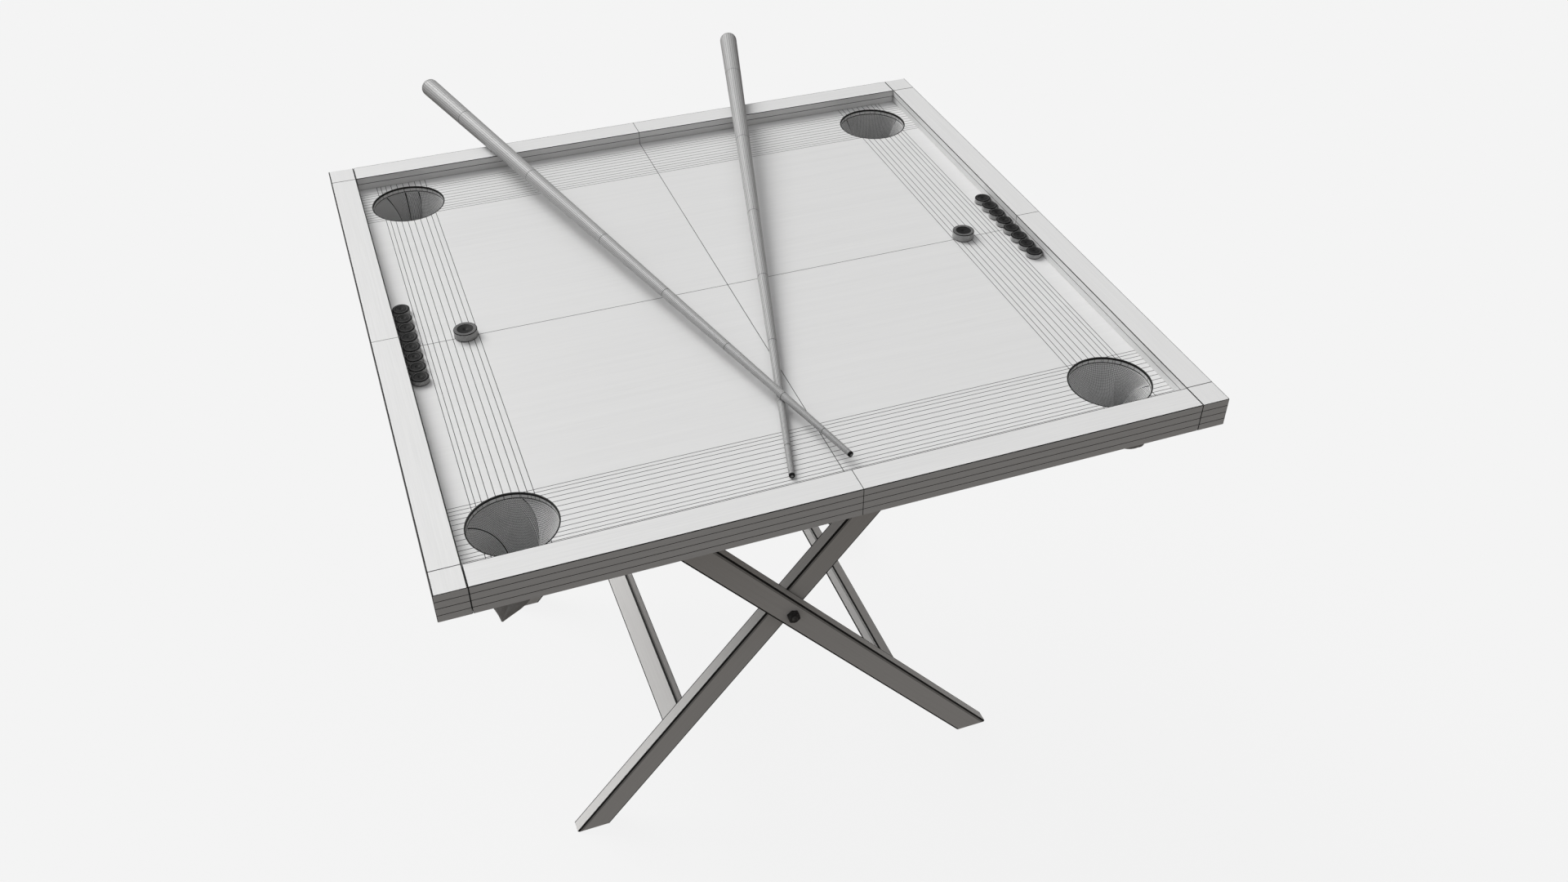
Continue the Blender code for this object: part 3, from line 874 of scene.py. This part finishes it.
def along_y(place, outwards, turn=0.0):
    """A matrix whose local Z points outwards along Y."""
    tilt = Matrix.Rotation(math.radians(-90 * outwards), 4, "X")
    return Matrix.Translation(place) @ tilt @ Matrix.Rotation(turn, 4, "Z")


def threaded_end(radius, start, end, pitch=0.0015):
    """A bolt's end with thread ridges and a chamfered tip, its axis along Z."""
    profile = [(0.0, end), (radius * 0.72, end), (radius * 0.86, end - 0.0006)]
    z = end - 0.0008
    while z - pitch > start:
        profile += [(radius, z - pitch * 0.25), (radius * 0.86, z - pitch * 0.75)]
        z -= pitch
    profile += [(radius, start), (0.0, start)]
    angles = [2 * math.pi * k / THREAD_STEPS for k in range(THREAD_STEPS)]
    return lathe(profile, angles, lambda step, i: 0)


def hardware():
    for place in ("front", "rear"):
        nut_low, nut_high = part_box(f"pivot_nut_{place}")
        bolt_low, bolt_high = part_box(f"pivot_bolt_{place}")
        outwards = -1 if place == "front" else 1
        x, z = (nut_low.x + nut_high.x) / 2, (nut_low.z + nut_high.z) / 2
        thick = nut_high.y - nut_low.y
        radius = max(nut_high.x - nut_low.x, nut_high.z - nut_low.z) / 2
        centre = Vector((x, (nut_low.y + nut_high.y) / 2, z))
        mesh = hexagon(radius, thick)
        bore = bmesh.new()
        cylinder(bore, NUT_BORE, thick * 2)
        nut = helper(mesh)
        cut(nut, helper(to_mesh(bore, "bore")))
        mesh = nut.data
        bpy.data.objects.remove(nut)
        mark_sharp(mesh)
        mesh.transform(along_y(centre, outwards, NUT_TURN))
        piece(f"nut_{place}", mesh, [STEEL], "stand_a", (f"pivot_nut_{place}",))

        tip_y = bolt_low.y if outwards < 0 else bolt_high.y
        head_y = bolt_high.y if outwards < 0 else bolt_low.y
        length = abs(tip_y - head_y)
        head = hexagon(radius, BOLT_HEAD)
        head.transform(Matrix.Rotation(math.pi, 4, "X") @ Matrix.Translation((0.0, 0.0, -BOLT_HEAD / 2)))
        bm = threaded_end(THREAD_R, THREAD_START, length)
        bm.from_mesh(head)
        mesh = to_mesh(bm, f"bolt_{place}")
        mark_sharp(mesh)
        mesh.transform(along_y(Vector((x, head_y, z)), outwards))
        piece(f"bolt_{place}", mesh, [STEEL_LIGHT], "stand_a", (f"pivot_bolt_{place}",))


# ---------------------------------------------------------------- pucks and strikers

# Rings of the upper face from the middle out: share of the radius, depth below the rim in shares of the
# height, and the material from here to the next
BLACK, DARK, RING, SIDE = range(4)
PUCK_FACE = (
    (0.00, 0.115, BLACK), (0.20, 0.115, BLACK), (0.25, 0.060, DARK), (0.36, 0.055, DARK),
    (0.40, 0.085, BLACK), (0.45, 0.045, DARK), (0.56, 0.040, DARK), (0.60, 0.075, BLACK),
    (0.66, 0.030, DARK), (0.72, 0.000, RING), (0.84, 0.000, BLACK), (0.88, 0.030, DARK),
    (0.93, 0.015, DARK),
)
STRIKER_FACE = (
    (0.00, 0.150, BLACK), (0.09, 0.150, DARK), (0.13, 0.120, BLACK), (0.24, 0.085, DARK),
    (0.34, 0.075, BLACK), (0.38, 0.070, DARK), (0.50, 0.060, BLACK), (0.53, 0.055, DARK),
    (0.64, 0.050, BLACK), (0.69, 0.020, RING), (0.80, 0.006, RING), (0.91, 0.000, RING),
)


def disc(name, face, ribs, ring_material, turned):
    """A turned disc with rings in its upper face and ribs round its side."""
    low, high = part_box(name)
    radius, height = (high.x - low.x) / 2, high.z - low.z
    centre = Vector(((low.x + high.x) / 2, (low.y + high.y) / 2, low.z))
    pitch = 2 * math.pi / ribs
    angles = [k * pitch + offset * pitch for k in range(ribs) for offset in (0.0, RIB)]
    profile = [(share * radius, height - deep * height) for share, deep, _ in face]
    materials = [material for _, _, material in face]
    profile += [
        (radius - ROUNDING * 0.7, height),
        (radius - ROUNDING * 0.15, height - ROUNDING * 0.45),
        (radius, height - ROUNDING),
        (radius - SIDE_DEEP, height - ROUNDING - 0.0001),
        (radius - SIDE_DEEP, ROUNDING + 0.0001),
        (radius, ROUNDING),
        (radius - ROUNDING * 0.6, 0.0),
        (0.0, 0.0),
    ]
    materials += [BLACK, BLACK, BLACK, SIDE, BLACK, BLACK, DARK]

    def material_at(step, i):
        if i % 2 and materials[step] in (SIDE, RING):
            return DARK
        return materials[step]

    mesh = to_mesh(lathe(profile, angles, material_at), f"{name}_turned")
    mark_sharp(mesh, 50.0)
    matrix = Matrix.Translation(centre) @ Matrix.Rotation(turned, 4, "Z")
    colours = [PUCK_BLACK, PUCK_DARK, ring_material, PUCK_SIDE]
    piece(f"{name}_turned", mesh, colours, name, (name,), matrix=matrix)


def discs():
    for side, first in (("left", 0), ("right", 8)):
        for number in range(1, 9):
            disc(f"puck_{side}_{number}", PUCK_FACE, RIBS, PUCK_RING, (first + number) * 0.7)
        disc(f"striker_{side}", STRIKER_FACE, STRIKER_RIBS, STRIKER_RING, (first + 20) * 0.7)


# ---------------------------------------------------------------- cues


def cue_stops(butt, tip, length, shaft):
    """(radius, place along the cue, kind) from the butt to the shaft's end. Kind 1 starts a dark ring."""

    def radius(s):
        return tip + (butt - tip) * s / length

    round_start = length - butt * 0.75
    stops = [(0.0, length, 0)]
    for k in range(1, 7):
        turned = math.radians(90 * (1 - k / 7))
        stops.append((butt * math.cos(turned), round_start + butt * 0.75 * math.sin(turned), 0))
    stops.append((radius(round_start), round_start, 1))
    stops.append((radius(round_start), round_start - RING_LINE * 0.8, 0))
    for ring in reversed(CUE_RINGS):
        for s, kind in ((ring + RING_LINE / 2, 1), (ring - RING_LINE / 2, 0)):
            stops.append((radius(s), s, kind))
    return stops + [(radius(shaft), shaft, 0), (0.0, shaft, 0)]


def stave_angles(radius):
    """The two sides of each line between staves, at one radius of a cue."""
    half = min(STAVE_LINE / 2 / radius, math.pi / STAVES * 0.45)
    middles = [2 * math.pi * k / STAVES for k in range(STAVES)]
    return [angle for middle in middles for angle in (middle - half, middle + half)]


def cue(name):
    """A tapered cue of staves with thin ring lines and a rounded butt, and its tip."""
    joint = next(j for j in frame["joints"] if j["child"] == name)
    axis = Vector(joint["axis"]).normalized()
    turn = axis.to_track_quat("Z", "Y").to_matrix().to_4x4()
    local = turn.inverted()

    def spans(node):
        points = np.array([(local @ v.co)[:] for v in frame["nodes"][node].data.vertices])
        return points.min(0), points.max(0)

    low, high = spans(name)
    tip_low, tip_high = spans(f"{name}_tip")
    x, y = (low[0] + high[0]) / 2, (low[1] + high[1]) / 2
    matrix = turn @ Matrix.Translation((x, y, tip_low[2]))
    tip = (tip_high[0] - tip_low[0]) / 2
    stops = cue_stops((high[0] - low[0]) / 2, tip, high[2] - tip_low[2], low[2] - tip_low[2])
    profile = [(radius, place) for radius, place, _ in stops]
    bm = lathe(profile, stave_angles, lambda step, i: 1 if i % 2 == 0 or stops[step][2] else 0)
    mesh = to_mesh(bm, f"{name}_staves")
    mark_sharp(mesh, 40.0)
    piece(f"{name}_staves", mesh, [CUE_LACQUER, STAVE_INK], name, (name,), matrix=matrix)

    end = tip_high[2] - tip_low[2]
    profile = [
        (0.0, end), (tip, end), (tip, 0.0030), (tip, 0.0012),
        (tip * 0.9, 0.0004), (tip * 0.7, 0.0001), (tip * 0.45, 0.0), (0.0, 0.0),
    ]
    angles = [2 * math.pi * k / TIP_STEPS for k in range(TIP_STEPS)]
    bm = lathe(profile, angles, lambda step, i: 2 if step < 2 else 1 if step == 6 else 0)
    mesh = to_mesh(bm, f"{name}_tip_pad")
    mark_sharp(mesh, 40.0)
    colours = [TIP, TIP_HEART, FERRULE]
    piece(f"{name}_tip_pad", mesh, colours, name, (f"{name}_tip",), matrix=matrix)


# ---------------------------------------------------------------- CAD nodes that stay


def paint_nodes():
    painted = {"playing_board": SURFACE}
    for side in ("left", "right"):
        painted[f"bearer_{side}"] = BEARER
        for place in ("front", "rear"):
            painted[f"bearer_screw_{side}_{place}"] = STEEL_LIGHT
    for place in ("front", "rear"):
        painted[f"pivot_washer_{place}"] = STEEL_LIGHT
    for corner in CORNERS:
        painted[f"pocket_ring_{corner}"] = STEEL
    for name, material in painted.items():
        node = frame["nodes"][name]
        node.data.materials.clear()
        node.data.materials.append(material)


# ---------------------------------------------------------------- stage, light and camera


def stage():
    floor_material = bpy.data.materials.new("floor")
    floor_material.use_nodes = True
    tree = floor_material.node_tree
    shader = tree.nodes["Principled BSDF"]
    shader.inputs["Base Color"].default_value = (0.04, 0.04, 0.04, 1.0)
    shader.inputs["Roughness"].default_value = 1.0
    shader.inputs["Specular IOR Level"].default_value = 0.0
    shader.inputs["Emission Color"].default_value = (1.0, 1.0, 1.0, 1.0)
    shader.inputs["Emission Strength"].default_value = FLOOR_GLOW
    mesh = bpy.data.meshes.new("floor")
    reach = FLOOR_REACH
    mesh.from_pydata(
        [(-reach, -reach, 0.0), (reach, -reach, 0.0), (reach, reach, 0.0), (-reach, reach, 0.0)],
        [],
        [(0, 1, 2, 3)],
    )
    mesh.materials.append(floor_material)
    floor = bpy.data.objects.new("floor", mesh)
    bpy.context.scene.collection.objects.link(floor)

    wall_material = bpy.data.materials.new("backdrop")
    wall_material.use_nodes = True
    tree = wall_material.node_tree
    tree.nodes.remove(tree.nodes["Principled BSDF"])
    glow = tree.nodes.new("ShaderNodeEmission")
    glow.inputs["Color"].default_value = (WALL_GLOW, WALL_GLOW, WALL_GLOW, 1.0)
    tree.links.new(glow.outputs[0], tree.nodes["Material Output"].inputs["Surface"])
    bm = bmesh.new()
    bmesh.ops.create_uvsphere(bm, u_segments=32, v_segments=16, radius=WALL_R)
    mesh = to_mesh(bm, "backdrop")
    mesh.materials.append(wall_material)
    backdrop = bpy.data.objects.new("backdrop", mesh)
    bpy.context.scene.collection.objects.link(backdrop)
    for obj in (floor, backdrop):
        obj.visible_diffuse = False
        obj.visible_glossy = False
        obj.visible_transmission = False
        obj.visible_shadow = False


def light():
    """A broad key light from behind on the left, and a soft surround that is darkest in front and below."""
    data = bpy.data.lights.new("key", "SUN")
    data.energy = KEY_POWER
    data.angle = KEY_SIZE
    data.color = (1.0, 0.995, 0.985)
    key = bpy.data.objects.new("key", data)
    bpy.context.scene.collection.objects.link(key)
    key.rotation_euler = Vector(KEY_TOWARDS).to_track_quat("-Z", "Y").to_euler()

    world = bpy.data.worlds.new("surround")
    bpy.context.scene.world = world
    world.use_nodes = True
    tree = world.node_tree
    background = tree.nodes["Background"]
    coordinates = tree.nodes.new("ShaderNodeTexCoord")
    aim = tree.nodes.new("ShaderNodeVectorMath")
    aim.operation = "DOT_PRODUCT"
    aim.inputs[1].default_value = Vector(SURROUND_UP).normalized()
    tree.links.new(coordinates.outputs["Generated"], aim.inputs[0])
    ramp = tree.nodes.new("ShaderNodeValToRGB")
    low, high = ramp.color_ramp.elements
    low.position, high.position = 0.0, 1.0
    low.color = (0.128, 0.118, 0.108, 1.0)
    high.color = (0.660, 0.667, 0.675, 1.0)
    tree.links.new(aim.outputs["Value"], ramp.inputs["Fac"])
    tree.links.new(ramp.outputs["Color"], background.inputs["Color"])
    background.inputs["Strength"].default_value = 1.0


def camera():
    data = bpy.data.cameras.new("camera")
    data.lens = LENS
    data.sensor_width = 36.0
    data.clip_end = 60.0
    view = bpy.data.objects.new("camera", data)
    bpy.context.scene.collection.objects.link(view)
    view.location = CAMERA_AT
    view.rotation_euler = [math.radians(angle) for angle in CAMERA_TURN]
    bpy.context.scene.camera = view


camera()
stage()
light()
bpy.context.scene.view_settings.view_transform = "Standard"
rails()
surface_lines()
pocket_rims()
nets()
legs()
stretchers()
hardware()
discs()
for name in ("cue_lower", "cue_upper"):
    cue(name)
paint_nodes()
